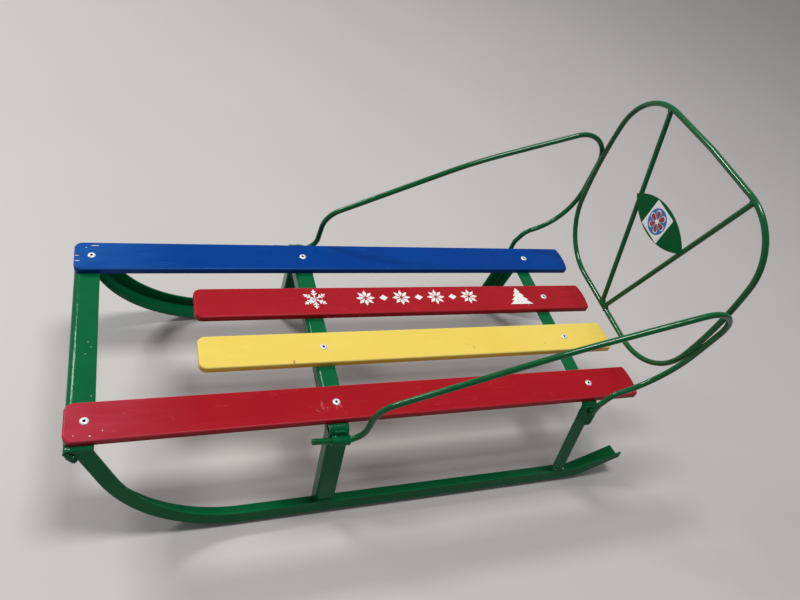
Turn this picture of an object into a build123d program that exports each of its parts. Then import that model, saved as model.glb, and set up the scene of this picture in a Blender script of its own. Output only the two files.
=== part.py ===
"""Children's sled: steel runners and arches, four wooden slats, rod armrests and a rod backrest.

Frame: millimetres, +X the way the sled is pulled, +Y to the rider's left, +Z up.
z = 0 is the floor. x = 0 and y = 0 are the middle of the bounding box.
Every named piece is its own solid in its own file under parts/.
The steel members are bent from one strip into angles: two legs with a round fold between them.
"""
import math
import os

from build123d import *

os.makedirs("parts", exist_ok=True)

# Driving sizes, read off the photo
SEAT_HEIGHT = 163.0
SLAT_WIDTH = 45.0
SLAT_THICKNESS = 8.0
SLAT_OUTER_Y = 114.0
SLAT_INNER_Y = 36.5
OUTER_SLAT_LENGTH = 684.0
INNER_SLAT_LENGTH = 554.0
TRACK_WIDTH = 339.5
LEAN_DEG = 11.0
SHEET = 2.0
FOLD_R = 5.0
ROD_D = 7.0
BRACE_D = 6.5

# Places along X, measured from the rear rivets
REAR_RIVET_X = 0.0
MID_RIVET_X = 340.0
FRONT_RIVET_SETBACK = 19.0
SLAT_TAIL_X = -71.0
TAIL_TIP_X = -98.0
FRONT_LIMIT_X = SLAT_TAIL_X + OUTER_SLAT_LENGTH
FRONT_RIVET_X = FRONT_LIMIT_X - FRONT_RIVET_SETBACK

# Bounding box middle, so that the part is centred
CENTRE_X = (FRONT_LIMIT_X + TAIL_TIP_X) / 2.0

RIVET_HOLE_D = 4.0
FRAME_TOP = SEAT_HEIGHT - SLAT_THICKNESS
LEAN = math.radians(LEAN_DEG)

# Welded pieces stand this far apart, so that each stays a solid of its own
SEAM = 0.1

# Longer than anything on the sled: the reach of cutting tools
REACH = 2.0 * (OUTER_SLAT_LENGTH + TRACK_WIDTH)


def save(shape, name):
    """Write one solid as a STEP file of its own."""
    solids = shape.solids()
    assert len(solids) == 1, (name, len(solids))
    export_step(solids[0], "parts/" + name + ".step")
    box = solids[0].bounding_box()
    print(name, [round(v, 1) for v in (*box.min, *box.max)], round(solids[0].volume / 1000.0, 1), "cm3")


def placed(shape):
    """Move a shape from the rear rivet line to the middle of the bounding box."""
    return Pos(-CENTRE_X, 0, 0) * shape


def mirrored(shape):
    """Return the rider's-right twin of a rider's-left shape."""
    return shape.mirror(Plane.XZ)


def largest(shape):
    """The main solid of a shape that a cut has left in several."""
    return shape.solids().sort_by(SortBy.VOLUME)[-1]


def angle_section(web, flange, thickness, fold_r):
    """Angle profile with its outer corner at the origin, web along +X, flange along +Y, round fold."""
    outline = Polyline(
        (0, 0), (web, 0), (web, thickness), (thickness, thickness), (thickness, flange), (0, flange), close=True)
    face = make_face(outline)
    outer = [v for v in face.vertices() if abs(v.X) < 1e-6 and abs(v.Y) < 1e-6]
    face = fillet(outer, fold_r)
    inner = [v for v in face.vertices() if abs(v.X - thickness) < 1e-6 and abs(v.Y - thickness) < 1e-6]
    return fillet(inner, fold_r - thickness)


# Slats: board with round nose corners, bowed tail, eased top edges and rivet holes
SLAT_NOSE_R = 9.0
SLAT_TAIL_R = 4.0
SLAT_TAIL_BOW = 3.5
SLAT_EASE = 2.0


def slat(length, y, rivet_xs):
    """Board from the common tail line forwards, top face at seat height."""
    nose_x = SLAT_TAIL_X + length
    side_x = SLAT_TAIL_X + SLAT_TAIL_BOW
    left = y + SLAT_WIDTH / 2.0
    right = y - SLAT_WIDTH / 2.0
    plan = make_face(Wire([
        ThreePointArc((side_x, left), (SLAT_TAIL_X, y), (side_x, right)),
        Line((side_x, right), (nose_x, right)),
        Line((nose_x, right), (nose_x, left)),
        Line((nose_x, left), (side_x, left)),
    ]))
    middle_x = (SLAT_TAIL_X + nose_x) / 2.0
    plan = fillet([v for v in plan.vertices() if v.X > middle_x], SLAT_NOSE_R)
    tail = [v for v in plan.vertices() if v.X < middle_x and abs(v.X - side_x) < 1e-6]
    plan = fillet(tail, SLAT_TAIL_R)
    board = extrude(Pos(0, 0, FRAME_TOP) * plan, SLAT_THICKNESS)
    top = board.faces().sort_by(Axis.Z)[-1]
    board = fillet(top.outer_wire().edges(), SLAT_EASE)
    for x in rivet_xs:
        board -= Pos(x, y, FRAME_TOP) * Cylinder(RIVET_HOLE_D / 2.0, 4 * SLAT_THICKNESS)
    return board


SLATS = [
    # name, length, y, rivet places
    ("slat_left_outer", OUTER_SLAT_LENGTH, SLAT_OUTER_Y, (REAR_RIVET_X, MID_RIVET_X, FRONT_RIVET_X)),
    ("slat_left_inner", INNER_SLAT_LENGTH, SLAT_INNER_Y, (REAR_RIVET_X, MID_RIVET_X)),
    ("slat_right_inner", INNER_SLAT_LENGTH, -SLAT_INNER_Y, (REAR_RIVET_X, MID_RIVET_X)),
    ("slat_right_outer", OUTER_SLAT_LENGTH, -SLAT_OUTER_Y, (REAR_RIVET_X, MID_RIVET_X, FRONT_RIVET_X)),
]
for name, length, y, rivet_xs in SLATS:
    save(placed(slat(length, y, rivet_xs)), name)

# Runners: angle with one leg on the floor and the other upright outside, bent up at both ends
RUNNER_FLOOR = 23.0
RUNNER_WALL = 18.5
RUNNER_FOLD_R = 3.0
NOSE_R = 162.0
NOSE_ANGLE = 66.8
NOSE_SETBACK = 6.2
TAIL_START_X = -24.5
TAIL_R = 50.0
TAIL_ANGLE = 26.3

# The wall is trimmed lower towards the tail tip, measured square to the straight tail
TAIL_TRIM_RUN = 64.0
TAIL_TIP_WALL = 11.5

# A leaning runner rests on the inner edge of its sole, so its outer foot line sits this high
FOOT_Z = RUNNER_FLOOR * math.sin(LEAN)


def leaning(shape):
    """Turn a shape drawn upright on the outer foot line so that it leans inwards as it rises."""
    return Pos(0, TRACK_WIDTH / 2.0, FOOT_Z) * Rot(LEAN_DEG, 0, 0) * shape


def wall_y(z, inset):
    """World y of a leaning plane that lies `inset` inside the runner's outer face, at height z."""
    return TRACK_WIDTH / 2.0 - inset / math.cos(LEAN) - math.tan(LEAN) * (z - FOOT_Z)


# Front crossmember: wide angle, web under the outer slats, flange down in front
CROSS_WIDTH = 28.0
CROSS_FLANGE = 12.5
CROSS_BEND_R = 7.0
CROSS_CORNER_R = 5.0
CROSS_END_Y = wall_y(FRAME_TOP - SHEET, 0.0)


def front_crossmember():
    """Bar between the runners' noses with its flange's lower corners rounded."""
    section = angle_section(CROSS_WIDTH, CROSS_FLANGE, SHEET, CROSS_BEND_R)
    front_top = Plane(origin=(FRONT_LIMIT_X, 0, FRAME_TOP), x_dir=(-1, 0, 0), z_dir=(0, -1, 0))
    bar = extrude(front_top * section, CROSS_END_Y, both=True)
    low = [e for e in bar.edges().filter_by(Axis.X)
           if e.center().Z < FRAME_TOP - CROSS_FLANGE + SHEET / 2.0]
    bar = fillet(low, CROSS_CORNER_R)
    for y in (SLAT_OUTER_Y, -SLAT_OUTER_Y):
        bar -= Pos(FRONT_RIVET_X, y, FRAME_TOP) * Cylinder(RIVET_HOLE_D / 2.0, 6 * SHEET)
    return bar


CROSSMEMBER = front_crossmember()
save(placed(CROSSMEMBER), "front_crossmember")


def arc_xz(centre, radius, a0, a1):
    """Arc in the XZ plane, angles in radians from +X towards +Z."""
    angles = (a0, (a0 + a1) / 2.0, a1)
    return ThreePointArc(*[
        (centre[0] + radius * math.cos(a), 0, centre[1] + radius * math.sin(a)) for a in angles])


def tail_trim(tail_x, tail_z, tail):
    """Wedge that takes the wall's upper edge off along the straight tail, deeper towards the tip."""
    along = Vector(-math.cos(tail), 0, math.sin(tail))
    square = Vector(math.sin(tail), 0, math.cos(tail))
    foot = Vector(tail_x, 0, tail_z)
    tip_run = (tail_x - TAIL_TIP_X) / math.cos(tail)
    slope = (RUNNER_WALL - TAIL_TIP_WALL) / TAIL_TRIM_RUN
    begin = tip_run - TAIL_TRIM_RUN
    past = tip_run + RUNNER_WALL
    corners = [
        foot + along * begin + square * RUNNER_WALL,
        foot + along * past + square * (RUNNER_WALL - slope * (past - begin)),
        foot + along * past + square * 2 * RUNNER_WALL,
        foot + along * begin + square * 2 * RUNNER_WALL,
    ]
    side = make_face(Polyline(*corners, close=True))
    return extrude(side, RUNNER_FLOOR, dir=(0, 1, 0), both=True)


def runner():
    """Angle swept along the sole line, cut upright at the tail and fitted under the crossmember."""
    down = -math.pi / 2.0
    tail = math.radians(TAIL_ANGLE)
    nose = math.radians(NOSE_ANGLE)
    # the tail runs on past its upright cut by the height of the wall
    tail_x = TAIL_START_X - TAIL_R * math.sin(tail)
    tail_z = TAIL_R * (1.0 - math.cos(tail))
    past_x = TAIL_TIP_X - RUNNER_WALL
    past_z = tail_z + (tail_x - past_x) * math.tan(tail)
    # the nose meets the web's underside just behind the crossmember's front face
    nose_up = NOSE_R * (1.0 - math.cos(nose))
    web_up = (FRAME_TOP - SHEET - FOOT_Z) / math.cos(LEAN)
    meet_x = FRONT_LIMIT_X - NOSE_SETBACK
    nose_x = meet_x - (web_up - nose_up) / math.tan(nose)
    start_x = nose_x - NOSE_R * math.sin(nose)
    top_up = web_up + RUNNER_WALL
    top_x = nose_x + (top_up - nose_up) / math.tan(nose)
    path = Wire([
        Line((past_x, 0, past_z), (tail_x, 0, tail_z)),
        arc_xz((TAIL_START_X, TAIL_R), TAIL_R, down - tail, down),
        Line((TAIL_START_X, 0, 0), (start_x, 0, 0)),
        arc_xz((start_x, NOSE_R), NOSE_R, down, down + nose),
        Line((nose_x, 0, nose_up), (top_x, 0, top_up)),
    ])
    # floor leg inwards, wall leg up
    start = Plane(origin=path @ 0, x_dir=(0, -1, 0), z_dir=path % 0)
    section = angle_section(RUNNER_FLOOR, RUNNER_WALL, SHEET, RUNNER_FOLD_R)
    if start.y_dir.Z < 0:
        section = section.mirror(Plane.XZ)
    body = leaning(sweep(start * section, path) - tail_trim(tail_x, tail_z, tail))
    behind = Pos(TAIL_TIP_X - REACH / 2.0, 0, 0) * Box(REACH, REACH, REACH)
    above = Pos(0, 0, FRAME_TOP + REACH / 2.0) * Box(REACH, REACH, REACH)
    return largest(body - behind - above - CROSSMEMBER)


RUNNER_LEFT = runner()
save(placed(RUNNER_LEFT), "runner_left")
save(placed(mirrored(RUNNER_LEFT)), "runner_right")

# Arches: angle bent over at the top corners, where its flange is notched
ARCH_WIDTH = 22.0
ARCH_FLANGE = 19.0
ARCH_CORNER_R = 8.5
ARCH_NOTCH = 4.0
MID_ARCH_HALF = 145.0
REAR_ARCH_HALF = 140.0
MID_ARCH_X = 340.1
ARCHES = [
    # name, middle of the web at the top, middle at the foot, rivet x, half width at the top, flange side
    ("mid_arch", MID_ARCH_X, MID_ARCH_X - 4.5, MID_RIVET_X, MID_ARCH_HALF, 1),
    ("rear_arch", REAR_RIVET_X + 5.0, REAR_RIVET_X - 2.5, REAR_RIVET_X, REAR_ARCH_HALF, -1),
]

# The legs stand inside the runners and touch the upper edge of the wall
RIM_Z = FOOT_Z + RUNNER_WALL * math.cos(LEAN)
RIM_Y = wall_y(RIM_Z, SHEET) - SEAM


def leg_lean(half):
    """Lean of a leg's outer face, in radians, for an arch of this half width at the top."""
    return math.atan2(RIM_Y - half, FRAME_TOP - RIM_Z)


def leg_y(half, z):
    """World y of a leg's outer face at height z."""
    return half + math.tan(leg_lean(half)) * (FRAME_TOP - z)


def on_leg(shape, half, x, z):
    """Seat a shape on a leg's outer face: drawn with its seat on y = 0, outwards +Y, upwards +Z."""
    return Pos(x, leg_y(half, z), z) * Rot(math.degrees(leg_lean(half)), 0, 0) * shape


# Rear brackets: plates on the rear arch legs with a hole for the armrest's hooked end
BRACKET_SHEET = 2.5
BRACKET_TOP = 150.0
BRACKET_LOW = 115.5
BRACKET_STEP = 132.5
BRACKET_REAR_X = -9.5
BRACKET_TOE_X = -1.0
BRACKET_FRONT_X = 16.0
BRACKET_CORNER_R = 4.0
HOOK_X = REAR_RIVET_X + 2.3
HOOK_Z = 145.0

# The hole is wide for the rod, which lies against its rear upper side
HOOK_HOLE_D = ROD_D + 2.5
HOLE_X = HOOK_X + 1.0
HOLE_Z = HOOK_Z - 0.5


def hook_hole():
    """Drill along Y for the armrest's hooked end, through bracket and leg."""
    return Pos(HOLE_X, leg_y(REAR_ARCH_HALF, HOLE_Z), HOLE_Z) * Rot(90, 0, 0) * Cylinder(
        HOOK_HOLE_D / 2.0, 10 * BRACKET_SHEET)


def arch(x_top, x_foot, rivet_x, half, side):
    """Hoop: angle across the top, bare web round both corners, angle legs leaning along X."""
    hoop_top = FRAME_TOP - ARCH_CORNER_R - SHEET
    flat_half = half - ARCH_CORNER_R - ARCH_NOTCH
    edge_x = x_top + side * ARCH_WIDTH / 2.0
    section = angle_section(ARCH_WIDTH, ARCH_FLANGE, SHEET, FOLD_R)
    # across the top: web level, flange down on its side of the web
    across = Plane(origin=(edge_x, 0, FRAME_TOP), x_dir=(-side, 0, 0), z_dir=(0, -side, 0))
    hoop = extrude(across * section, flat_half, both=True)

    def outline(inset):
        low_y = leg_y(half, 0.0) - inset
        top_y = leg_y(half, FRAME_TOP - inset) - inset
        return make_face(Polyline(
            (low_y, 0.0), (top_y, FRAME_TOP - inset), (-top_y, FRAME_TOP - inset), (-low_y, 0.0), close=True))
    outer = outline(0.0)
    outer = fillet([v for v in outer.vertices() if v.Y > 1.0], ARCH_CORNER_R)
    inner = outline(SHEET)
    inner = fillet([v for v in inner.vertices() if v.Y > 1.0], ARCH_CORNER_R - SHEET)
    strip = extrude(Plane.YZ * (outer - inner), ARCH_WIDTH / 2.0, both=True)
    beside = Pos(0, flat_half + REACH / 2.0, hoop_top + REACH / 2.0) * Box(REACH, REACH, REACH)
    corner = (Pos(x_top, 0, 0) * strip) & beside
    # leg: level angle section pushed down along the leg's own direction
    run = Vector(x_foot - x_top, leg_y(half, 0.0) - half, -FRAME_TOP)
    start = Plane(origin=(edge_x, leg_y(half, hoop_top), hoop_top), x_dir=(-side, 0, 0), z_dir=(0, 0, side))
    level = start * section
    leg = extrude(level, amount=run.length, dir=run)
    # the leg ends on the floor of the runner
    below = leaning(Pos(0, 0, SHEET - REACH / 2.0) * Box(REACH, REACH, REACH))
    quarter = corner + largest(leg - below - RUNNER_LEFT)
    if side < 0:
        quarter -= hook_hole()
    hoop = hoop + quarter + mirrored(quarter)
    for y in (SLAT_OUTER_Y, SLAT_INNER_Y, -SLAT_INNER_Y, -SLAT_OUTER_Y):
        hoop -= Pos(rivet_x, y, FRAME_TOP) * Cylinder(RIVET_HOLE_D / 2.0, 6 * SHEET)
    return hoop


for name, x_top, x_foot, rivet_x, half, side in ARCHES:
    save(placed(arch(x_top, x_foot, rivet_x, half, side)), name)

# Sockets on the mid arch legs: saddles bent round the rod and closed by the leg's face.
# They lean with the rod's front end, which drops a little towards the rear.
SOCKET_LENGTH = 21.5
SOCKET_X = MID_ARCH_X - 1.2
SOCKET_SEAT_Z = 141.4
SOCKET_TILT_DEG = 4.5
SOCKET_STRAP = 1.7
SOCKET_SLACK = 0.3
TONGUE_WIDTH = 12.0
TONGUE_HEIGHT = 7.0
SOCKET_BORE_R = ROD_D / 2.0 + SOCKET_SLACK
SOCKET_AXIS_Y = leg_y(MID_ARCH_HALF, SOCKET_SEAT_Z) + SOCKET_BORE_R * math.cos(leg_lean(MID_ARCH_HALF))
SOCKET_AXIS_Z = SOCKET_SEAT_Z + SOCKET_BORE_R * math.sin(leg_lean(MID_ARCH_HALF))


def on_pin(run):
    """Place on the centre line of the armrest's front end, this far ahead of the saddle's middle."""
    tilt = math.radians(SOCKET_TILT_DEG)
    lean = leg_lean(MID_ARCH_HALF)
    rise = run * math.sin(tilt)
    return (
        SOCKET_X + run * math.cos(tilt),
        SOCKET_AXIS_Y - rise * math.sin(lean),
        SOCKET_AXIS_Z + rise * math.cos(lean),
    )


def rear_bracket():
    """Plate with a slanted lower front edge and a hole, flat on the rear leg's outer face."""
    plate = make_face(Polyline(
        (BRACKET_REAR_X, BRACKET_TOP), (BRACKET_REAR_X, BRACKET_LOW), (BRACKET_TOE_X, BRACKET_LOW),
        (BRACKET_FRONT_X, BRACKET_STEP), (BRACKET_FRONT_X, BRACKET_TOP), close=True))
    rear_low = [v for v in plate.vertices() if v.Y < BRACKET_LOW + 1.0 and v.X < BRACKET_REAR_X + 1.0]
    plate = fillet(rear_low, BRACKET_CORNER_R)
    upright = Plane(origin=(0, 0, -HOOK_Z), x_dir=(1, 0, 0), z_dir=(0, -1, 0))
    body = extrude(upright * plate, -BRACKET_SHEET)
    return on_leg(body, REAR_ARCH_HALF, 0.0, HOOK_Z) - hook_hole()


BRACKET_LEFT = rear_bracket()
save(placed(BRACKET_LEFT), "rear_bracket_left")
save(placed(mirrored(BRACKET_LEFT)), "rear_bracket_right")


def bent_line(corners):
    """Straight runs joined by tangent arcs: each corner is (point, bend radius), none at the ends."""
    points = [Vector(*point) for point, radius in corners]
    starts = list(points)
    ends = list(points)
    arcs = {}
    for i in range(1, len(corners) - 1):
        radius = corners[i][1]
        here = points[i]
        back = (points[i - 1] - here).normalized()
        ahead = (points[i + 1] - here).normalized()
        half_angle = math.radians(back.get_angle(ahead)) / 2.0
        reach = radius / math.tan(half_angle)
        middle = (back + ahead).normalized() * (radius / math.sin(half_angle) - radius)
        starts[i] = here + back * reach
        ends[i] = here + ahead * reach
        arcs[i] = ThreePointArc(starts[i], here + middle, ends[i])
    edges = []
    for i in range(len(corners) - 1):
        edges.append(Line(ends[i], starts[i + 1]))
        if i + 1 in arcs:
            edges.append(arcs[i + 1])
    return Wire(edges)


def bent_rod(corners, diameter):
    """Round rod along a bent line."""
    line = bent_line(corners)
    plane = Plane(origin=line @ 0, z_dir=line % 0)
    return sweep(plane * Circle(diameter / 2.0), line)


# Armrests: one bent rod each side, corners are centre-line places on the rider's left
PIN_REACH = 22.0
PIN_END_R = 1.8
PIN_BEND_RUN = 25.0
BESIDE_RING = ROD_D + SEAM
HOOK_OUT_Y = leg_y(REAR_ARCH_HALF, HOOK_Z) + BRACKET_SHEET + ROD_D / 2.0 + 1.2
ARMREST_CORNERS = [
    # (x, y, z), bend radius
    (on_pin(SOCKET_LENGTH / 2.0 + PIN_REACH), 0.0),
    (on_pin(-PIN_BEND_RUN), 22.0),
    ((309.3, 152.5, 201.6), 36.0),
    ((119.2, 160.1, 298.8), 750.0),
    ((-76.8, 156.02 + BESIDE_RING, 374.8), 40.0),
    ((-69.2, 141.42 + BESIDE_RING, 215.1), 93.0),
    ((-7.3, 148.8, 186.1), 25.0),
    ((HOOK_X, HOOK_OUT_Y, 165.0), 8.0),
    ((HOOK_X, HOOK_OUT_Y, HOOK_Z), 5.7),
    ((HOOK_X, leg_y(REAR_ARCH_HALF, HOOK_Z) - 3.5, HOOK_Z), 0.0),
]
ARMREST_LEFT = bent_rod(ARMREST_CORNERS, ROD_D)
pin_end = ARMREST_LEFT.edges().filter_by(GeomType.CIRCLE).sort_by(Axis.X)[-1]
ARMREST_LEFT = fillet(pin_end, PIN_END_R)
save(placed(ARMREST_LEFT), "armrest_left")
save(placed(mirrored(ARMREST_LEFT)), "armrest_right")


def saddle_outline(radius, out):
    """Half round of this radius about the rod, carried straight back to the leg's face."""
    return make_face(Wire([
        Line((0, radius), (out, radius)),
        ThreePointArc((out, radius), (out + radius, 0), (out, -radius)),
        Line((out, -radius), (0, -radius)),
        Line((0, -radius), (0, radius)),
    ]))


def socket():
    """Saddle strap with a tongue that lies on the leg above the rod; its bore follows the rod's bend."""
    out = SOCKET_BORE_R
    outer_r = SOCKET_BORE_R + SOCKET_STRAP
    strap = saddle_outline(outer_r, out) - saddle_outline(SOCKET_BORE_R, out)
    saddle = extrude(Plane.YZ * strap, SOCKET_LENGTH / 2.0, both=True)
    tongue = Rectangle(TONGUE_WIDTH, TONGUE_HEIGHT + SOCKET_STRAP)
    tongue = fillet([v for v in tongue.vertices() if v.Y > 0], TONGUE_WIDTH / 4.0)
    seat = Plane(origin=(0, 0, outer_r - SOCKET_STRAP), x_dir=(-1, 0, 0), z_dir=(0, 1, 0))
    raised = Pos(0, (TONGUE_HEIGHT + SOCKET_STRAP) / 2.0) * tongue
    saddle += extrude(seat * raised, SOCKET_STRAP)
    tilted = Rot(0, -SOCKET_TILT_DEG, 0) * saddle
    seated = on_leg(tilted, MID_ARCH_HALF, SOCKET_X, SOCKET_SEAT_Z)
    return largest(seated - bent_rod(ARMREST_CORNERS[:3], 2 * SOCKET_BORE_R))


SOCKET_LEFT = socket()
save(placed(SOCKET_LEFT), "socket_left")
save(placed(mirrored(SOCKET_LEFT)), "socket_right")

# Back: ring, braces and badge plate, drawn upright on the plane x = 0 and leant forward together
RING_X = -71.9
RING_FOOT_Z = 185.0
BACK_LEAN_DEG = 1.15
RING_CORNERS = [
    # y and height above the ring's foot, from the bottom middle to the top middle, bend radius
    (0.0, 0.0, 0.0),
    (134.0, 0.0, 85.5),
    (154.0, 135.0, 540.0),
    (144.0, 264.5, 75.5),
    (0.0, 268.5, 0.0),
]


def in_back_plane(shape):
    """Set a shape drawn about the ring's foot into the leant plane of the back."""
    return Pos(RING_X, 0, RING_FOOT_Z) * Rot(0, BACK_LEAN_DEG, 0) * shape


def back_ring():
    """Left half swept from the bottom middle to the top middle, joined to its twin."""
    half = bent_rod([((0.0, y, up), radius) for y, up, radius in RING_CORNERS], ROD_D)
    half = half & (Pos(0, REACH / 2.0, 0) * Box(REACH, REACH, REACH))
    return half + mirrored(half)


BACK_RING = back_ring()
save(placed(in_back_plane(BACK_RING)), "back_ring")

# Braces: a V from the ring's bottom middle to its top
V_TOP_Y = 87.0
V_TOP_UP = 266.0
V_FOOT_Y = 3.3


def brace(side):
    """Straight rod from centre line to centre line of the ring, coped where it meets the ring."""
    start = Vector(0.0, side * V_FOOT_Y, 0.0)
    end = Vector(0.0, side * V_TOP_Y, V_TOP_UP)
    plane = Plane(origin=start, z_dir=(end - start))
    bar = extrude(plane * Circle(BRACE_D / 2.0), (end - start).length)
    bar = largest(bar - BACK_RING)
    return bar & (Pos(0, side * REACH / 2.0, 0) * Box(REACH, REACH, REACH))


save(placed(in_back_plane(brace(1))), "brace_left")
save(placed(in_back_plane(brace(-1))), "brace_right")

# Badge plate: lens of sheet on the front of the braces
BADGE_SHEET = 1.5
BADGE_HALF_WIDTH = 56.0
BADGE_HALF_HEIGHT = 23.5
BADGE_UP = 157.5


def badge_plate():
    """Lens between two equal arcs, laid against the braces."""
    w = BADGE_HALF_WIDTH
    h = BADGE_HALF_HEIGHT
    upper = ThreePointArc((-w, 0), (0, h), (w, 0))
    lower = ThreePointArc((w, 0), (0, -h), (-w, 0))
    lens = make_face(Wire([upper, lower]))
    front = Plane(origin=(BRACE_D / 2.0, 0, BADGE_UP), x_dir=(0, 1, 0), z_dir=(1, 0, 0))
    return extrude(front * lens, BADGE_SHEET)


save(placed(in_back_plane(badge_plate())), "badge_plate")
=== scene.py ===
# %% [markdown]
# A child's sled, dressed over its CAD frame.
# The frame holds every steel piece and every board at its true place, in metres.
# This file adds what a CAD solid has no use for: enamel, painted pine, rivets, weld beads,
# stencil marks, a label and the small scars of a shop floor.

# %% The frame
import math

import bpy
import numpy as np
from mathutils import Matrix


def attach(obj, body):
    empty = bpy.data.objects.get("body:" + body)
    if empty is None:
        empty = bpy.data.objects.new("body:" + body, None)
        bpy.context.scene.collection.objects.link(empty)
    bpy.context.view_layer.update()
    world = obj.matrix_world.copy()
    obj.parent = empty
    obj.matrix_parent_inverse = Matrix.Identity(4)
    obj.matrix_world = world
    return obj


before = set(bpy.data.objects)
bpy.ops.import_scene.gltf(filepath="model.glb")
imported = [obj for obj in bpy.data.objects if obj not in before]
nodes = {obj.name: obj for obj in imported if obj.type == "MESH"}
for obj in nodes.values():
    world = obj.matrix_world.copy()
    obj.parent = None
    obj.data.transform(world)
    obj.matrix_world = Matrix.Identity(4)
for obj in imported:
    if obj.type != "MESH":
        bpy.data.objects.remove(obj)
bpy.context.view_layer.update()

# %% [markdown]
# The camera stands where the photographer stood: in front of the rider's left knee, looking back and down.
# It is made first, so that every later piece can be judged from the photograph's own place.

# %% Camera
camera_data = bpy.data.cameras.new("camera")
camera_data.lens = 29.608
camera_data.sensor_width = 36.0
camera = bpy.data.objects.new("camera", camera_data)
camera.location = (0.28382, 0.49504, 0.77013)
camera.rotation_euler = [math.radians(a) for a in (43.3944, -15.3612, 164.6792)]
bpy.context.scene.collection.objects.link(camera)
bpy.context.scene.camera = camera
bpy.context.scene.view_settings.view_transform = "Standard"
print("camera at", [round(v, 2) for v in camera.location], "m, lens", round(camera_data.lens, 1), "mm")

# %% [markdown]
# Sizes on a sled are read with a ruler in millimetres: x from the line of the rear rivets, y from the
# middle towards the rider's left, z from the floor.
# One helper turns such places into metres in the frame, and one turns a hex colour into linear light.

# %% Units and colours
MM = 0.001
REAR_RIVETS_X = -257.5
SEAT_TOP = 163.0
# the middle line of each board
BOARDS = {"left_outer": 114.0, "left_inner": 36.5, "right_inner": -36.5, "right_outer": -114.0}


def place(points):
    """Millimetres from the rear rivet line become metres in the frame."""
    return (np.asarray(points, float) + [REAR_RIVETS_X, 0.0, 0.0]) * MM


def per_mm(size):
    """Texture scale that makes one feature about this many millimetres wide."""
    return 1.0 / (size * MM)


def linear(code):
    """sRGB hex code to linear red, green, blue and alpha."""
    parts = [int(code[i:i + 2], 16) / 255.0 for i in (1, 3, 5)]
    return [c / 12.92 if c <= 0.04045 else ((c + 0.055) / 1.055) ** 2.4 for c in parts] + [1.0]


print("seat top at", SEAT_TOP, "mm, boards' middle lines at", list(BOARDS.values()))

# %% [markdown]
# A material is a small tree of nodes. One helper makes the empty tree, and one adds a node to it
# with its settings and with what feeds each of its inputs.

# %% Node helpers
def finish(name, roughness, metallic=0.0, specular=0.5):
    """A new material with its one shader set: gives the material, its node tree and the shader."""
    material = bpy.data.materials.new(name)
    material.use_nodes = True
    shader = material.node_tree.nodes["Principled BSDF"]
    shader.inputs["Roughness"].default_value = roughness
    shader.inputs["Metallic"].default_value = metallic
    shader.inputs["Specular IOR Level"].default_value = specular
    return material, material.node_tree, shader


def add(tree, kind, settings=None, **links):
    """One node: settings are its own properties, links are its inputs' values or the sockets that feed them.

    An input is named with underscores for spaces, or as i and its number.
    """
    node = tree.nodes.new(kind)
    for key, value in (settings or {}).items():
        setattr(node, key, value)
    for key, value in links.items():
        socket = node.inputs[int(key[1:]) if key[1:].isdigit() else key.replace("_", " ")]
        if isinstance(value, bpy.types.NodeSocket):
            tree.links.new(value, socket)
        else:
            socket.default_value = value
    return node


COLOUR = {"data_type": "RGBA"}


def mottled(name, first, second, width, detail, roughness, metallic=0.0):
    """A finish of two close tones, mixed by noise whose spots are about this many millimetres wide."""
    material, tree, shader = finish(name, roughness, metallic)
    where = add(tree, "ShaderNodeTexCoord").outputs["Object"]
    spots = add(tree, "ShaderNodeTexNoise", Vector=where, Scale=per_mm(width), Detail=detail)
    tone = add(tree, "ShaderNodeMix", COLOUR, i0=spots.outputs[0], i6=linear(first), i7=linear(second))
    tree.links.new(tone.outputs[2], shader.inputs["Base Color"])
    return material


# %% [markdown]
# The steel is dipped in green alkyd enamel, a thick glossy oil paint. It pools where it drains,
# so the tone drifts every few centimetres, and it dries with a fine orange peel that breaks up highlights.
# Dust from the shop leaves a few pale specks. Under the runners, use has rubbed it thin.

# %% Green enamel
POOL_WIDTH = 28
SPECK_CELL = 11
PATCH_WIDTH = 6
PEEL_WIDTH = 2.5
SAG_WIDTH = 14
SAG_DEPTH = 0.3
DUST = "#9DB5A6"
BARE_STEEL = "#6E6F6B"


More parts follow.
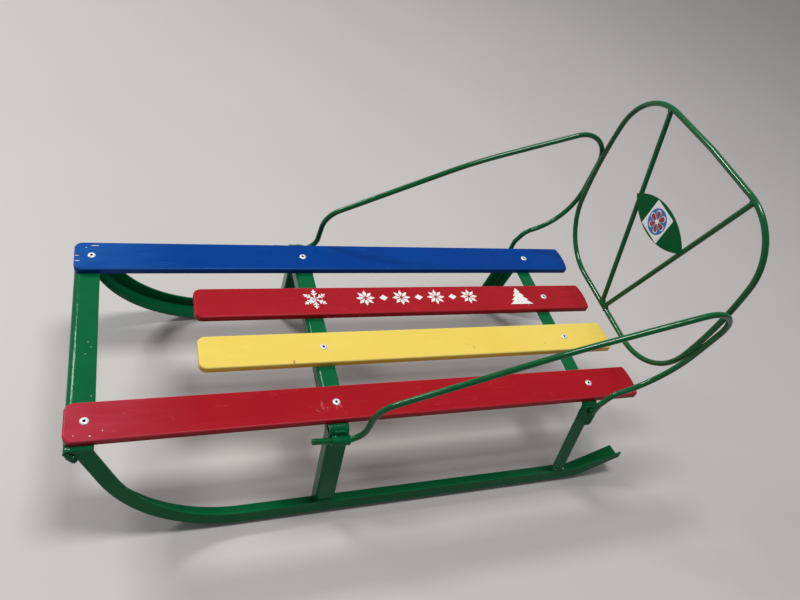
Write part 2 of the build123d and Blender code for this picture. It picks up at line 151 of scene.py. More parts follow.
def green_enamel(name, deep, bright, peel_depth, worn_to=0.0, shine=0.12):
    """Enamel on steel: two greens mixed by slow noise, pale specks, worn below a height in millimetres."""
    material, tree, shader = finish(name, 0.16, specular=shine)
    where = add(tree, "ShaderNodeTexCoord").outputs["Object"]
    pools = add(tree, "ShaderNodeTexNoise", Vector=where, Scale=per_mm(POOL_WIDTH), Detail=3.0)
    tone = add(tree, "ShaderNodeMix", COLOUR, i0=pools.outputs[0], i6=linear(deep), i7=linear(bright))
    # about one cell in three holds a speck 0.8 mm across, and the steel's skin cuts few of them
    cells = add(tree, "ShaderNodeTexVoronoi", Vector=where, Scale=per_mm(SPECK_CELL))
    small = add(tree, "ShaderNodeMath", {"operation": "LESS_THAN"}, i0=cells.outputs["Distance"], i1=0.035)
    rare = add(tree, "ShaderNodeMath", {"operation": "GREATER_THAN"}, i0=cells.outputs["Color"], i1=0.62)
    speck = add(tree, "ShaderNodeMath", {"operation": "MULTIPLY"}, i0=small.outputs[0], i1=rare.outputs[0])
    dusty = add(tree, "ShaderNodeMix", COLOUR, i0=speck.outputs[0], i6=tone.outputs[2], i7=linear(DUST))
    # rubbed through to steel below worn_to, in patches
    height = add(tree, "ShaderNodeSeparateXYZ", Vector=where).outputs["Z"]
    low = add(tree, "ShaderNodeMapRange", Value=height, From_Min=worn_to * MM, From_Max=0.0)
    patches = add(tree, "ShaderNodeTexNoise", Vector=where, Scale=per_mm(PATCH_WIDTH), Detail=4.0)
    both = add(tree, "ShaderNodeMath", {"operation": "MULTIPLY"}, i0=low.outputs[0], i1=patches.outputs[0])
    bare = add(tree, "ShaderNodeMapRange", Value=both.outputs[0], From_Min=0.30, From_Max=0.40)
    coat = add(tree, "ShaderNodeMix", COLOUR, i0=bare.outputs[0], i6=dusty.outputs[2], i7=linear(BARE_STEEL))
    tree.links.new(coat.outputs[2], shader.inputs["Base Color"])
    gloss = add(tree, "ShaderNodeMapRange", Value=pools.outputs[0], To_Min=0.08, To_Max=0.17)
    tree.links.new(gloss.outputs[0], shader.inputs["Roughness"])
    # orange peel on slow sags
    peel = add(tree, "ShaderNodeTexNoise", Vector=where, Scale=per_mm(PEEL_WIDTH), Detail=2.0)
    sags = add(tree, "ShaderNodeTexNoise", Vector=where, Scale=per_mm(SAG_WIDTH), Detail=1.0)
    fine = add(tree, "ShaderNodeBump", Height=peel.outputs[0], Strength=1.0, Distance=peel_depth * MM)
    slow = add(tree, "ShaderNodeBump", Height=sags.outputs[0], Strength=1.0, Distance=SAG_DEPTH * MM,
               Normal=fine.outputs[0])
    tree.links.new(slow.outputs[0], shader.inputs["Normal"])
    return material


sheet_enamel = green_enamel("green_enamel_on_sheet", "#065A35", "#0C6A40", 0.04)
rod_enamel = green_enamel("green_enamel_on_rod", "#034C28", "#066234", 0.015, shine=0.42)
runner_enamel = green_enamel("green_enamel_on_runner", "#055A34", "#0A6C40", 0.04, worn_to=3.0, shine=0.10)
badge_enamel = green_enamel("green_enamel_on_badge", "#045029", "#085E30", 0.02, shine=0.05)
bracket_enamel = green_enamel("green_enamel_on_bracket", "#034F2A", "#065E34", 0.04, shine=0.06)
# pale green enamel for the burrs round the hook holes: a painted highlight
burr_painted_highlight_enamel = green_enamel("green_enamel_painted_highlight", "#4E7A62", "#86A894", 0.05)
weld_enamel = green_enamel("green_enamel_on_weld", "#064E2E", "#0B5F38", 0.12, shine=0.22)
print(sum("enamel" in material.name for material in bpy.data.materials), "green enamels made")

# %% [markdown]
# The slats are planed pine boards under a gloss alkyd paint, brushed or rolled along the board.
# The eye gets long faint ribs from the grain, thin paint with a painted highlight that shows paler along the
# eased edges, cloudy scuffs and a painted sheen at the front, painted shade down the sides, and a few hair
# scratches that run roughly with the board.

# %% Painted pine
SLAT_HALF = 22.5
RIBS = (220, 2.5, 2.5)
SCUFFS_AND_SHEEN = (45, 14, 14)
HAIRS = (70, 9, 9)
HAIR_HEADING = 4.0
# where scuffs and a painted sheen set in and where they are full, along x from the middle of the frame
SCUFF_AND_SHEEN_FROM, SCUFF_AND_SHEEN_FULL = 225.0, 345.0


def stretched(tree, where, sizes, detail, heading=0.0):
    """Noise whose spots have this length, width and height in millimetres, turned to a heading."""
    axes = add(tree, "ShaderNodeMapping", Vector=where, Rotation=(0.0, 0.0, math.radians(heading)),
               Scale=[per_mm(size) for size in sizes])
    return add(tree, "ShaderNodeTexNoise", Vector=axes.outputs[0], Scale=1.0, Detail=detail)


def painted_pine(name, deep, bright, edge, foot, middle_y):
    """Gloss paint on grain: ribs, pale edges, scuffed front, painted highlight and sheen, painted side shade.
    """
    material, tree, shader = finish(name, 0.28, specular=0.09)
    where = add(tree, "ShaderNodeTexCoord").outputs["Object"]
    drift = add(tree, "ShaderNodeTexNoise", Vector=where, Scale=per_mm(60), Detail=3.0)
    tone = add(tree, "ShaderNodeMix", COLOUR, i0=drift.outputs[0], i6=linear(deep), i7=linear(bright))
    ribs = stretched(tree, where, RIBS, 4.0)
    streak = add(tree, "ShaderNodeMapRange", Value=ribs.outputs[0], From_Min=0.40, From_Max=0.75, To_Max=0.08)
    grained = add(tree, "ShaderNodeMix", COLOUR, i0=streak.outputs[0], i6=tone.outputs[2], i7=linear(deep))
    # paler within 2 mm of the long edges, in the top 1.6 mm of the board: thin paint with a painted highlight
    spot = add(tree, "ShaderNodeSeparateXYZ", Vector=where)
    off = add(tree, "ShaderNodeMath", {"operation": "SUBTRACT"}, i0=spot.outputs["Y"], i1=middle_y * MM)
    away = add(tree, "ShaderNodeMath", {"operation": "ABSOLUTE"}, i0=off.outputs[0])
    rim = add(tree, "ShaderNodeMapRange", Value=away.outputs[0], From_Min=(SLAT_HALF - 2.2) * MM,
              From_Max=(SLAT_HALF - 0.9) * MM, To_Max=0.22)
    top = add(tree, "ShaderNodeMapRange", Value=spot.outputs["Z"], From_Min=(SEAT_TOP - 1.6) * MM,
              From_Max=(SEAT_TOP - 0.8) * MM)
    line = add(tree, "ShaderNodeMath", {"operation": "MULTIPLY"}, i0=rim.outputs[0], i1=top.outputs[0])
    thin_paint_and_edge_highlight = add(tree, "ShaderNodeMix", COLOUR, i0=line.outputs[0], i6=grained.outputs[2], i7=linear(edge))
    # boots scuff the front ends, and a painted sheen lies over them: cloudy streaks that thicken forwards
    scuff_and_sheen_reach = add(tree, "ShaderNodeMapRange", Value=spot.outputs["X"], From_Min=SCUFF_AND_SHEEN_FROM * MM,
                From_Max=SCUFF_AND_SHEEN_FULL * MM, To_Max=0.55)
    clouds = stretched(tree, where, SCUFFS_AND_SHEEN, 3.0)
    scuff_and_sheen = add(tree, "ShaderNodeMath", {"operation": "MULTIPLY"}, i0=scuff_and_sheen_reach.outputs[0],
                  i1=clouds.outputs[0])
    front = add(tree, "ShaderNodeMix", COLOUR, i0=scuff_and_sheen.outputs[0], i6=thin_paint_and_edge_highlight.outputs[2], i7=linear(edge))
    # painted shade: the tone deepens down the sides, from the top's edge to the foot
    side_shade = add(tree, "ShaderNodeMapRange", Value=spot.outputs["Z"], From_Min=(SEAT_TOP - 8.0) * MM,
               From_Max=(SEAT_TOP - 0.5) * MM, To_Min=1.0, To_Max=0.0)
    side = add(tree, "ShaderNodeMix", COLOUR, i0=side_shade.outputs[0], i6=front.outputs[2], i7=linear(foot))
    # hair scratches: the thin lines where a stretched noise crosses its middle value
    lines = stretched(tree, where, HAIRS, 1.0, HAIR_HEADING)
    middle = add(tree, "ShaderNodeMath", {"operation": "SUBTRACT"}, i0=lines.outputs[0], i1=0.62)
    near = add(tree, "ShaderNodeMath", {"operation": "ABSOLUTE"}, i0=middle.outputs[0])
    scratch = add(tree, "ShaderNodeMapRange", Value=near.outputs[0], From_Max=0.006, To_Min=0.28, To_Max=0.0)
    marked = add(tree, "ShaderNodeMix", COLOUR, i0=scratch.outputs[0], i6=side.outputs[2], i7=linear(edge))
    tree.links.new(marked.outputs[2], shader.inputs["Base Color"])
    dull = add(tree, "ShaderNodeMapRange", Value=ribs.outputs[0], To_Min=0.22, To_Max=0.30)
    tree.links.new(dull.outputs[0], shader.inputs["Roughness"])
    brush = add(tree, "ShaderNodeBump", Height=ribs.outputs[0], Strength=1.0, Distance=0.02 * MM)
    waves = add(tree, "ShaderNodeBump", Height=drift.outputs[0], Strength=1.0, Distance=0.8 * MM,
                Normal=brush.outputs[0])
    tree.links.new(waves.outputs[0], shader.inputs["Normal"])
    return material


SLAT_PAINTS = {
    # board: deep tone, bright tone, pale tone of thin paint and scuffs with painted highlight and sheen,
    # the painted shade of the sides
    "left_outer": ("#98121D", "#AC1923", "#CA586E", "#8A0C18"),
    "left_inner": ("#E9C957", "#F1D86A", "#F8E9A4", "#F0AC3A"),
    "right_inner": ("#9B1822", "#B0212B", "#C44A5C", "#8E0D18"),
    "right_outer": ("#003482", "#024394", "#2F74BC", "#023284"),
}
for board, tones in SLAT_PAINTS.items():
    slat = nodes["slat_" + board]
    slat.data.materials.clear()
    slat.data.materials.append(painted_pine("gloss_paint_on_slat_" + board, *tones, BOARDS[board]))
    print("painted the board", board)

# %% [markdown]
# Each steel piece takes one of the enamels. The coat draws tight round the rods and dries glossiest there,
# the runners are the ones that wear, and the flat plates look deepest. The arches, the crossmember and the
# sockets keep the plain coat of sheet steel.

# %% Enamel on the steel pieces
COATS = {
    "armrest_left": rod_enamel, "armrest_right": rod_enamel, "back_ring": rod_enamel,
    "brace_left": rod_enamel, "brace_right": rod_enamel,
    "runner_left": runner_enamel, "runner_right": runner_enamel,
    "rear_bracket_left": bracket_enamel, "rear_bracket_right": bracket_enamel, "badge_plate": badge_enamel,
}
steel = [name for name in nodes if not name.startswith("slat_")]
for name in steel:
    nodes[name].data.materials.clear()
    nodes[name].data.materials.append(COATS.get(name, sheet_enamel))
print(len(steel), "steel pieces enamelled")

# %% [markdown]
# Every added piece is a surface worked out with numpy. A grid of points becomes a mesh whose faces join
# neighbouring rows and columns. A ring of columns closes on itself, and the two end rows are closed by caps.

# %% Mesh helpers
def piece(name, points, faces, material, smooth=True):
    """A named mesh in the frame that rides on the sled's one body."""
    mesh = bpy.data.meshes.new(name)
    mesh.from_pydata(np.asarray(points, float).tolist(), [], [list(map(int, face)) for face in faces])
    mesh.materials.append(material)
    mesh.polygons.foreach_set("use_smooth", np.full(len(mesh.polygons), smooth))
    mesh.update()
    made = bpy.data.objects.new(name, mesh)
    bpy.context.scene.collection.objects.link(made)
    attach(made, "root")
    return made


def ring_faces(rows, columns, start=0):
    """Quads between neighbouring rings of a closed tube, and one cap at each end."""
    row, column = np.meshgrid(np.arange(rows - 1), np.arange(columns), indexing="ij")
    here = start + row * columns + column
    beside = start + row * columns + (column + 1) % columns
    quads = np.stack([here, beside, beside + columns, here + columns], axis=-1).reshape(-1, 4)
    first = start + np.arange(columns)[::-1]
    last = start + (rows - 1) * columns + np.arange(columns)
    return quads.tolist() + [first.tolist(), last.tolist()]


def tube(path, radii, columns):
    """Circles of the given radii, square to the path, as rows of points."""
    path = np.asarray(path, float)
    along = np.gradient(path, axis=0)
    along /= np.linalg.norm(along, axis=1, keepdims=True)
    steady = np.eye(3)[np.argmin(np.abs(along).sum(axis=0))]
    side = np.cross(along, steady)
    side /= np.linalg.norm(side, axis=1, keepdims=True)
    up = np.cross(along, side)
    turn = np.linspace(0.0, 2.0 * np.pi, columns, endpoint=False)
    circle = (np.cos(turn)[None, :, None] * side[:, None, :]
              + np.sin(turn)[None, :, None] * up[:, None, :])
    return (path[:, None, :] + radii[:, None, None] * circle).reshape(-1, 3)


# %% [markdown]
# Blind rivets hold the boards to the steel. The dome is a ring of bright aluminium round the dark end of the
# pulled pin, the shank fills the hole through board and web, and the blind end swells below.
# It is a profile turned round the rivet's axis: each row is a height and a radius.

# %% Rivets
# aluminium straight from the rivet gun is pale and slightly brushed, and scuffs in small patches
aluminium = mottled("bright_aluminium", "#D9DBDC", "#F4F5F5", 1.5, 3.0, 0.34, 0.35)
# the broken pin deep in the rivet is dark steel, dull from the break; its near black, also on the hole's
# wall, is partly painted shade
pin_and_hole_shade = mottled("broken_pin_steel_and_painted_hole_shade", "#141414", "#2A2A2C", 0.5, 2.0, 0.6, 0.6)
RIVET_PROFILE = np.array([
    # height above the board, radius
    (-2.2, 0.05), (-2.2, 1.45), (0.7, 1.5), (0.95, 1.7), (1.1, 2.2), (1.05, 2.9), (0.75, 3.7), (0.3, 4.3),
    (0.05, 4.5), (0.02, 4.4), (0.02, 1.95), (-9.9, 1.95), (-10.05, 2.8), (-11.5, 3.1), (-13.6, 2.7),
    (-14.4, 1.3), (-14.5, 0.05),
])
# the first rows of the profile are the floor and wall of the hole, which take the pin's dark steel and
# painted shade
PIN_ROWS = 3
RIVET_ROUND = 28
# the inner boards end behind the front crossmember, so only the outer ones have a front rivet
RIVET_X = {"rear": 0.0, "mid": 340.0, "front": 594.0}
RIVETS = [("rivet_" + board + "_" + row, x, y) for board, y in BOARDS.items() for row, x in RIVET_X.items()
          if "outer" in board or row != "front"]
turn = np.linspace(0.0, 2.0 * np.pi, RIVET_ROUND, endpoint=False)
height, radius = RIVET_PROFILE[:, :1], RIVET_PROFILE[:, 1:]
faces = [face[::-1] for face in ring_faces(len(RIVET_PROFILE), RIVET_ROUND)]
in_the_hole = np.array([max(face) < PIN_ROWS * RIVET_ROUND for face in faces], int)
for name, x, y in RIVETS:
    grid = np.stack([x + radius * np.cos(turn), y + radius * np.sin(turn),
                     SEAT_TOP + height + 0.0 * turn], axis=-1)
    rivet = piece(name, place(grid.reshape(-1, 3)), faces, aluminium)
    rivet.data.materials.append(pin_and_hole_shade)
    rivet.data.polygons.foreach_set("material_index", in_the_hole)
print(len(RIVETS), "rivets")

# %% [markdown]
# The joints are stick welds, cleaned with a hammer and painted over. A bead is a tube along a short path
# whose radius ripples at the pace of the welder's hand and dwindles at both ends.

# %% Weld beads
RIPPLE = 1.9
RIPPLE_DEPTH = 0.10
LUMP_DEPTH = 0.05
BEAD_ROUND = 12
lumps = np.random.default_rng(7)


def bead(name, path, radius, material=weld_enamel):
    """Tube along smooth points: radius times one plus a ripple, times a round taper at the ends."""
    path = np.asarray(path, float)
    steps = np.linspace(0, len(path) - 1, max(8, int(6 * np.abs(np.diff(path, axis=0)).sum() / RIPPLE)))
    smooth = np.stack([np.interp(steps, np.arange(len(path)), path[:, k]) for k in range(3)], axis=1)
    run = np.linspace(-1.0, 1.0, len(steps))
    travelled = np.concatenate([[0.0], np.linalg.norm(np.diff(smooth, axis=0), axis=1).cumsum()])
    taper = np.sqrt(np.clip(1.0 - np.abs(run) ** 5, 0.003, None))
    wave = np.sin(2.0 * np.pi * travelled / RIPPLE)
    wander = 1.0 + RIPPLE_DEPTH * wave + LUMP_DEPTH * lumps.standard_normal(len(run))
    points = tube(smooth, radius * taper * wander, BEAD_ROUND)
    return piece(name, place(points), ring_faces(len(run), BEAD_ROUND), material)


def hoop(centre, axis, radius, turns=0.97, count=26):
    """Points of a circle round an axis, nearly closed, for a bead that runs round a rod."""
    axis = np.asarray(axis, float) / np.linalg.norm(axis)
    first = np.cross(axis, [1.0, 0.0, 0.0] if abs(axis[0]) < 0.9 else [0.0, 1.0, 0.0])
    first /= np.linalg.norm(first)
    second = np.cross(axis, first)
    angle = np.linspace(0.0, 2.0 * np.pi * turns, count)
    return np.asarray(centre) + radius * (np.cos(angle)[:, None] * first + np.sin(angle)[:, None] * second)


WELDS = [
    # name, path on the rider's left in millimetres, radius
    ("nose_outer", [(609.6, 138.6, 146.6), (608.0, 140.6, 143.4), (604.2, 142.2, 140.2),
                    (600.6, 143.2, 138.4)], 3.1),
    ("nose_fill", [(609.7, 139.2, 149.6), (608.6, 140.6, 147.6), (605.4, 141.7, 145.6),
                   (601.8, 142.7, 143.0)], 3.2),
    ("nose_top", [(608.0, 140.4, 152.2), (598.0, 140.7, 152.3), (589.0, 140.6, 152.4)], 1.5),
    ("nose_inner", [(606.5, 137.6, 151.6), (600.0, 138.0, 151.4), (592.0, 138.2, 151.6)], 1.7),
    ("mid_leg_rim", [(326.5, 164.3, 23.3), (336.0, 164.2, 23.6), (345.5, 164.3, 23.3)], 1.6),
    ("mid_leg_foot", [(347.9, 162.0, 5.9), (348.0, 156.0, 4.8), (347.9, 149.5, 3.5)], 1.9),
    ("rear_leg_rim", [(-11.5, 164.3, 23.3), (-2.0, 164.2, 23.6), (7.5, 164.3, 23.3)], 1.6),
    ("rear_leg_foot", [(-14.2, 162.0, 5.9), (-14.3, 156.0, 4.8), (-14.2, 149.5, 3.5)], 1.9),
    ("saddle_front", [(344.9, 146.6, 147.4), (345.2, 145.9, 151.0), (344.6, 145.4, 153.4)], 1.3),
    ("saddle_rear", [(332.9, 146.9, 146.2), (332.6, 146.3, 149.8), (333.0, 145.7, 152.6)], 1.3),
    ("saddle_under", [(331.0, 148.4, 134.7), (339.0, 148.3, 135.4), (348.0, 148.2, 136.2)], 1.1),
    ("bracket_front", [(16.2, 141.8, 149.2), (16.6, 142.8, 144.0), (16.4, 143.9, 138.6),
                       (15.8, 144.9, 133.4)], 1.8),
    ("bracket_lump", [(12.6, 143.9, 143.2), (10.6, 144.6, 140.2), (9.0, 145.0, 137.6)], 1.7),
    ("bracket_top", [(-6.0, 141.9, 150.3), (3.0, 141.8, 150.5), (12.0, 141.8, 150.3)], 1.2),
    ("arm_ring_front", [(-68.9, 149.3, 262.0), (-69.3, 150.8, 276.0), (-69.5, 152.2, 290.0)], 2.3),
    ("arm_ring_rear", [(-72.7, 149.3, 264.0), (-73.1, 150.8, 276.0), (-73.4, 152.2, 288.0)], 2.2),
    ("brace_top", hoop((-66.7, 85.9, 446.8), (0.0, 83.7, 266.0), 3.0), 1.5),
    ("brace_foot", hoop((-71.8, 4.6, 189.4), (0.0, 83.7, 266.0), 2.9), 1.4),
    ("badge_back", [(-69.3, 50.2, 335.5), (-69.2, 52.0, 342.0), (-69.1, 53.6, 347.5)], 1.3),
]
for name, path, radius in WELDS:
    path = np.asarray(path, float)
    bead("weld_" + name + "_left", path, radius)
    bead("weld_" + name + "_right", path * [1.0, -1.0, 1.0], radius)
bead("weld_ring_closing", hoop((-71.9, 8.5, 185.0), (0.0, 1.0, 0.0), 3.3), 1.2)
bead("weld_v_front", [(-68.6, -3.2, 187.6), (-68.3, 0.0, 188.4), (-68.6, 3.2, 187.6)], 1.9)
# a burr round the rim of each punched hole for the armrests' hooks, in pale green: a painted highlight
HOOK_HOLE = (3.3, 143.3, 144.5)
HOOK_HOLE_AXIS = (0.0, 0.98, 0.19)
BURR_RING = 5.1
for name, side in (("left", 1.0), ("right", -1.0)):
    rim = hoop(HOOK_HOLE, HOOK_HOLE_AXIS, BURR_RING, count=30) * [1.0, side, 1.0]
    bead("burr_of_hook_hole_" + name, rim, 0.6, burr_painted_highlight_enamel)
print(2 * len(WELDS) + 4, "weld beads and burrs")

# %% [markdown]
# Marks, labels and scars lie on the surface as films a few hundredths of a millimetre thick:
# the outline above, the same outline below, and a wall between. A film of its own keeps its edge crisp
# however near the eye comes. Old paint on it is worn off in crumbs that show what lies below.

# %% Films
CLEAR = 0.02


def film(name, outlines, at, lift, thickness, material):
    """Thin prisms over flat outlines, lifted clear of what carries them.

    The function at takes outline places and a height to the frame.
    """
    points, faces = [], []
    for outline in outlines:
        outline = np.asarray(outline, float)
        ahead = np.roll(outline, -1, axis=0)
        area = (outline[:, 0] * ahead[:, 1] - ahead[:, 0] * outline[:, 1]).sum()
        if area < 0.0:
            outline = outline[::-1]
        count, start = len(outline), sum(len(p) for p in points)
        points += [at(outline, lift), at(outline, lift + thickness)]
        index = np.arange(count)
        following = (index + 1) % count
        walls = np.stack([index, following, following + count, index + count], axis=1) + start
        faces += walls.tolist() + [(start + index[::-1]).tolist(), (start + count + index).tolist()]
    return piece(name, np.concatenate(points), faces, material, smooth=False)


def turned(outline, degrees, centre=(0.0, 0.0)):
    """An outline turned about zero and then moved."""
    a = math.radians(degrees)
    spin = np.array([[math.cos(a), math.sin(a)], [-math.sin(a), math.cos(a)]])
    return np.asarray(outline, float) @ spin + centre


def on_seat(outline, height):
    """Outline places x and y in millimetres, lying on the boards' top."""
    return place(np.hstack([outline, np.full((len(outline), 1), SEAT_TOP + height)]))


def worn_paint(name, code, under, crumb_mm):
    """Flat paint worn through in crumbs: the colour below shows where a noise is high."""
    material, tree, shader = finish(name, 0.48)
    where = add(tree, "ShaderNodeTexCoord").outputs["Object"]
    crumbs = add(tree, "ShaderNodeTexNoise", Vector=where, Scale=per_mm(crumb_mm), Detail=5.0)
    lost = add(tree, "ShaderNodeMapRange", Value=crumbs.outputs[0], From_Min=0.60, From_Max=0.66, To_Max=0.85)
    tone = add(tree, "ShaderNodeMix", COLOUR, i0=lost.outputs[0], i6=linear(code), i7=linear(under))
    tree.links.new(tone.outputs[2], shader.inputs["Base Color"])
    rough = add(tree, "ShaderNodeBump", Height=crumbs.outputs[0], Strength=0.6, Distance=0.05 * MM)
    tree.links.new(rough.outputs[0], shader.inputs["Normal"])
    return material


# %% [markdown]
# The white marks on a red board are paint sprayed through a cut stencil: crisp outlines with bridges
# between the shapes. Here they are a snowflake, a row of eight-petalled stars as on a knitted border,
# and a fir tree. One arm or one petal is drawn, and it is turned and repeated for the rest.

# %% Stencil marks
ARM_SIDE = [(2.6, 0.9), (6.5, 0.9), (9.3, 3.9), (10.4, 2.9), (8.5, 0.9), (10.7, 0.9), (12.7, 3.1),
            (13.8, 2.1), (12.7, 0.9), (15.2, 0.9), (16.4, 0.0)]
ARM = np.array(ARM_SIDE + [(u, -v) for u, v in ARM_SIDE[-2::-1]])
HUB = [(1.5 * math.cos(k * math.pi / 3), 1.5 * math.sin(k * math.pi / 3)) for k in range(6)]
STAR_PETAL = np.array([(1.6, 0.0), (7.6, 2.5), (13.0, 0.0), (7.6, -2.5)])
LOZENGE = np.array([(-6.0, 0.0), (0.0, -5.0), (6.0, 0.0), (0.0, 5.0)])
TREE_SIDE = [(0.0, -30.0), (5.0, -22.5), (3.0, -22.5), (9.0, -15.0), (5.5, -15.0), (13.5, -7.5), (9.0, -7.5),
             (18.5, 0.0)]
TREE = np.array(TREE_SIDE + [(-u, v) for u, v in TREE_SIDE[:0:-1]])
SNOWFLAKE = (337.0, -39.0)
BORDER_Y = -39.5
STARS_X = (120.0, 170.0, 220.0, 270.0)
LOZENGES_X = (145.0, 195.0, 245.0)
TREE_FOOT = (41.0, -23.8)
STENCIL_COAT = 0.05
stencil_white = worn_paint("stencil_white_paint", "#F2F2EE", "#A51C29", 2.2)
snowflake = [turned(ARM, 60 * k + 30, SNOWFLAKE) for k in range(6)] + [np.array(HUB) + SNOWFLAKE]
border = [turned(STAR_PETAL, 45 * k, (x, BORDER_Y)) for x in STARS_X for k in range(8)]
border += [LOZENGE + [x, BORDER_Y] for x in LOZENGES_X]
film("stencil_snowflake", snowflake, on_seat, CLEAR, STENCIL_COAT, stencil_white)
film("stencil_border", border, on_seat, CLEAR, STENCIL_COAT, stencil_white)
film("stencil_fir_tree", [TREE + TREE_FOOT], on_seat, CLEAR, STENCIL_COAT, stencil_white)
print("stencil marks:", len(snowflake) + len(border) + 1, "shapes")

# %% [markdown]
# The badge plate carries a printed vinyl label, a little askew: white with rounded corners, a blue disc
# and a red flower of six round petals, outlined in white.
# The layers are films on the leaning plane of the back.

# %% Badge label
BACK_X, BACK_FOOT_Z, BACK_LEAN = -71.9, 185.0, math.radians(1.15)
PLATE_FACE = 4.75
LABEL_MIDDLE = (-1.8, 157.0)


def on_badge(outline, height):
    """Outline places across and up the back, in front of the badge plate's face."""
    across, up = outline[:, 0] + LABEL_MIDDLE[0], outline[:, 1] + LABEL_MIDDLE[1]
    front = PLATE_FACE + height
    x = BACK_X + front * math.cos(BACK_LEAN) + up * math.sin(BACK_LEAN)
    z = BACK_FOOT_Z - front * math.sin(BACK_LEAN) + up * math.cos(BACK_LEAN)
    return place(np.stack([x, across, z], axis=1))


def vinyl(name, code):
    """Printed vinyl: glossy film whose ink varies a little in grains 0.8 mm wide."""
    material, tree, shader = finish(name, 0.30)
    where = add(tree, "ShaderNodeTexCoord").outputs["Object"]
    ink = add(tree, "ShaderNodeTexNoise", Vector=where, Scale=per_mm(0.8), Detail=2.0)
    shade = add(tree, "ShaderNodeMapRange", Value=ink.outputs[0], From_Min=0.3, From_Max=0.8, To_Max=0.25)
    tone = add(tree, "ShaderNodeMix", COLOUR, i0=shade.outputs[0], i6=linear(code), i7=linear("#5B6470"))
    tree.links.new(tone.outputs[2], shader.inputs["Base Color"])
    return material


def rounded(half_width, half_height, radius):
    """Rectangle with quarter-circle corners, eight points each."""
    bend = np.linspace(0.0, np.pi / 2.0, 8)
    corner = radius * np.stack([np.cos(bend), np.sin(bend)], axis=1) - radius
    quarter = corner + [half_width, half_height]
    return np.concatenate([quarter, quarter[::-1] * [-1, 1], quarter * [-1, -1], quarter[::-1] * [1, -1]])


round_angle = np.linspace(0.0, 2.0 * np.pi, 48, endpoint=False)
disc = np.stack([np.cos(round_angle), np.sin(round_angle)], axis=1)
label_white = vinyl("label_white_vinyl", "#FBFCFD")
LABEL_TURN = -3.4
LABEL_COAT = 0.05
# one petal of the flower: from its narrow root to a round tip
TIP_MIDDLE, TIP_RADIUS = 9.6, 3.6
tip_angle = np.linspace(-0.5 * np.pi, 0.5 * np.pi, 9)
tip = np.stack([TIP_MIDDLE + TIP_RADIUS * np.cos(tip_angle), TIP_RADIUS * np.sin(tip_angle)], axis=1)
FLOWER_PETAL = np.concatenate([[(2.0, -1.2)], tip, [(2.0, 1.2)]])
LABEL_LAYERS = [
    # name, outlines, height of its underside, material
    ("label_sheet", [rounded(18.9, 20.0, 1.3)], 0.02, label_white),
    ("label_disc", [disc * [16.2, 17.2]], 0.10, vinyl("label_blue_print", "#1271C2")),
    ("label_outline", [turned(FLOWER_PETAL * 1.12, 60 * k) for k in range(6)], 0.16, label_white),
    ("label_flower", [turned(FLOWER_PETAL * 0.94 + [0.9, 0.0], 60 * k) for k in range(6)], 0.22,
     vinyl("label_red_print", "#9A0F20")),
    ("label_heart", [disc * 3.2], 0.28, label_white),
]
for name, outlines, proud, material in LABEL_LAYERS:
    askew = [turned(outline, LABEL_TURN) for outline in outlines]
    film(name, askew, on_badge, proud, LABEL_COAT, material)
print("label made of", len(LABEL_LAYERS), "films")

# %% [markdown]
# A sled that has stood in a shop has small scars: scratches on the front edge of the blue board,
# chips and rubbed places on the red ones, and a nick and smudges on the yellow one.
# Each is a ragged flake: an ellipse whose edge is roughened by seeded random numbers.

# %% Scars
SCAR_DEPTH = 0.03
ragged = np.random.default_rng(11)


def flake(length, width, heading):
    """Ellipse of 18 points with a ragged edge, turned to its heading in degrees."""
    angle = np.linspace(0.0, 2.0 * np.pi, 18, endpoint=False)
    rough = 1.0 + 0.22 * ragged.standard_normal(len(angle)).clip(-1.6, 1.6)
    shape = np.stack([0.5 * length * np.cos(angle), 0.5 * width * np.sin(angle)], axis=1) * rough[:, None]
    return turned(shape, heading)


primer = worn_paint("pale_primer_in_a_scratch", "#C9D6DE", "#5D86B8", 1.0)
bare_pine = worn_paint("bare_pine_in_a_chip", "#E2C9B2", "#B4525A", 0.8)
rubbed_red = worn_paint("rubbed_red_paint", "#AA2631", "#A51F2A", 1.6)
nick_brown = worn_paint("nick_in_yellow_paint", "#A9782A", "#C8993C", 0.8)
smudge = worn_paint("smudge_on_yellow_paint", "#D9B64C", "#E6C75C", 1.4)
SCARS = [
    # name, x, y, length, width, heading, material
    ("scratch_blue_1", 609.6, -113.5, 4.6, 1.0, 0.0, primer),
    ("scratch_blue_2", 608.8, -105.0, 5.8, 1.4, 0.0, primer),
    ("scratch_blue_3", 590.0, -130.3, 9.5, 1.1, 2.0, primer),
    ("scratch_blue_4", 600.0, -127.0, 1.8, 1.0, 60.0, primer),
    ("chip_red_1", 588.5, 131.0, 1.6, 1.3, 20.0, bare_pine),
    ("chip_red_2", 577.5, 126.0, 1.3, 1.0, 80.0, bare_pine),
    ("chip_red_3", 603.0, 129.5, 1.2, 0.9, 10.0, bare_pine),
    ("chip_red_inner", 31.5, -21.5, 1.4, 1.0, 0.0, bare_pine),
    ("rub_red_1", 357.0, 118.0, 3.0, 11.0, 0.0, rubbed_red),
    ("rub_red_2", 351.5, 120.5, 2.0, 4.0, 10.0, rubbed_red),
    ("rub_red_3", 341.0, 120.0, 1.6, 6.5, -8.0, rubbed_red),
    ("rub_red_4", 336.5, 119.5, 4.2, 3.6, 0.0, rubbed_red),
    ("rub_red_5", 362.0, 124.0, 6.5, 1.6, -30.0, rubbed_red),
    ("nick_yellow", 378.5, 56.4, 2.2, 4.2, 0.0, nick_brown),
    ("smudge_yellow_1", 143.5, 47.4, 3.0, 5.0, 10.0, smudge),
    ("smudge_yellow_2", 152.0, 42.0, 6.0, 1.2, -15.0, smudge),
    ("smudge_yellow_3", 35.6, 46.4, 1.4, 2.2, 0.0, nick_brown),
]
for name, x, y, length, width, heading, material in SCARS:
    film(name, [flake(length, width, heading) + [x, y]], on_seat, CLEAR, SCAR_DEPTH, material)
print(len(SCARS), "scars")
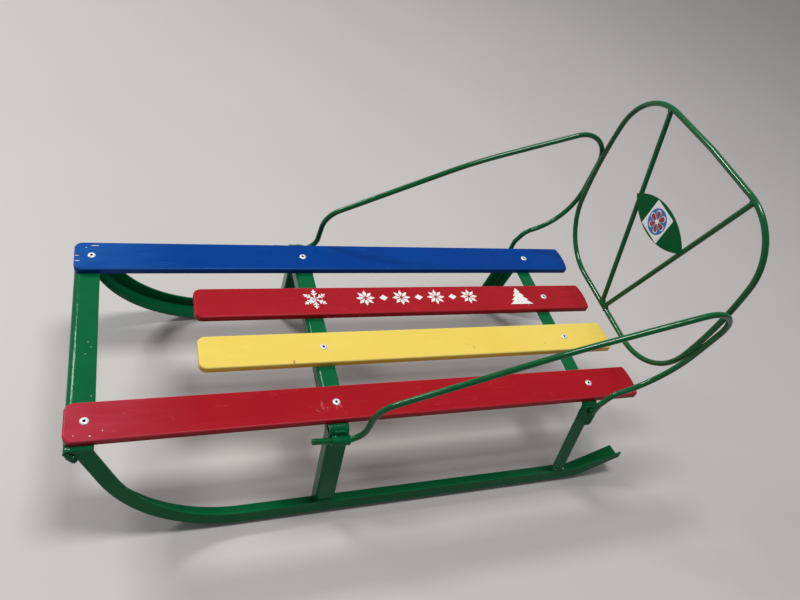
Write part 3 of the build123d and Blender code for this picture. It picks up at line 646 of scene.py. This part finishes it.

# %% [markdown]
# Small pale bumps on the green are painted glints: white specks on the enamel and on the welds.
# It is a short bead about a millimetre long. The largest sits on the weld at the foot of the left rear leg.

# %% Painted glints
# white paint for the painted glints on the enamel and the welds
glint_white = worn_paint("white_paint_fleck", "#E9EEEA", "#B7C9BF", 0.7)
PAINTED_GLINTS = [
    # x, y, z, length, radius
    (609.6, 138.4, 155.1, 1.6, 0.55), (606.6, 138.8, 155.1, 1.3, 0.5), (594.4, 10.1, 155.1, 1.0, 0.45),
    (591.2, 17.1, 155.1, 1.2, 0.45), (596.5, 26.0, 155.1, 0.8, 0.4), (589.4, 79.9, 155.1, 1.2, 0.45),
    (344.9, 148.0, 147.6, 0.9, 0.5), (338.0, 146.4, 151.2, 0.8, 0.45), (-8.0, 164.3, 25.0, 2.0, 0.8),
]
for number, (x, y, z, length, radius) in enumerate(PAINTED_GLINTS):
    path = [(x - length / 2, y, z), (x, y + 0.2, z), (x + length / 2, y, z)]
    bead(f"painted_glint_{number}", path, radius, glint_white)
print(len(PAINTED_GLINTS), "flecks")

# %% [markdown]
# The sled stands on a plain pale floor, as in a shop. One flat square is enough, far larger than the
# view, with a faint clouding so that it isn't a dead even grey.

# %% Floor
# half the side of a square far larger than the view, in metres
REACH = 6.0
corners = [(-REACH, -REACH, 0), (REACH, -REACH, 0), (REACH, REACH, 0), (-REACH, REACH, 0)]
floor_mesh = bpy.data.meshes.new("floor")
floor_mesh.from_pydata(corners, [], [(0, 1, 2, 3)])
floor_mesh.materials.append(mottled("pale_floor", "#C5C0BB", "#CDC9C4", 400, 3.0, 0.5))
sheet = bpy.data.objects.new("floor", floor_mesh)
bpy.context.scene.collection.objects.link(sheet)
print("floor", 2 * REACH, "m square")

# %% [markdown]
# A lit strip on the ceiling runs along the sled: it draws the shadows straight below. A second strip,
# beyond the far front corner, draws the bright lines along the folds and the armrests.
# A dim room, paler behind the sled, fills the rest.

# %% Light
world = bpy.data.worlds.new("studio")
world.use_nodes = True
world.node_tree.nodes["Background"].inputs["Color"].default_value = linear("#F2F4F8")
# the light round the sled is paler on its far side and dim on the near one
PALE_SIDE, DIM_SIDE = 0.42, 0.13
towards = add(world.node_tree, "ShaderNodeTexCoord").outputs["Generated"]
sideways = add(world.node_tree, "ShaderNodeSeparateXYZ", Vector=towards).outputs["Y"]
glow = add(world.node_tree, "ShaderNodeMapRange", Value=sideways, From_Min=-0.7, From_Max=0.8,
           To_Min=PALE_SIDE, To_Max=DIM_SIDE)
world.node_tree.links.new(glow.outputs[0], world.node_tree.nodes["Background"].inputs["Strength"])
bpy.context.scene.world = world
LAMPS = [
    # name, place in metres, aimed at, length, width, watts
    ("ceiling_strip", (-0.10, -0.04, 2.3), (-0.10, 0.0, 0.1), 0.70, 0.42, 25.0),
    ("far_strip", (1.75, -1.90, 2.55), (1.75, 0.0, 0.1), 1.30, 0.36, 58.0),
]
for name, spot, aim, length, width, watts in LAMPS:
    data = bpy.data.lights.new(name, "AREA")
    data.energy = watts
    data.shape = "RECTANGLE"
    data.size = length
    data.size_y = width
    lamp = bpy.data.objects.new(name, data)
    lamp.location = spot
    ray = np.array(aim) - np.array(spot)
    tilt = math.acos(-ray[2] / np.linalg.norm(ray))
    lamp.rotation_euler = (tilt, 0.0, math.atan2(ray[1], ray[0]) - math.pi / 2.0)
    bpy.context.scene.collection.objects.link(lamp)
    print(name, "at", spot)
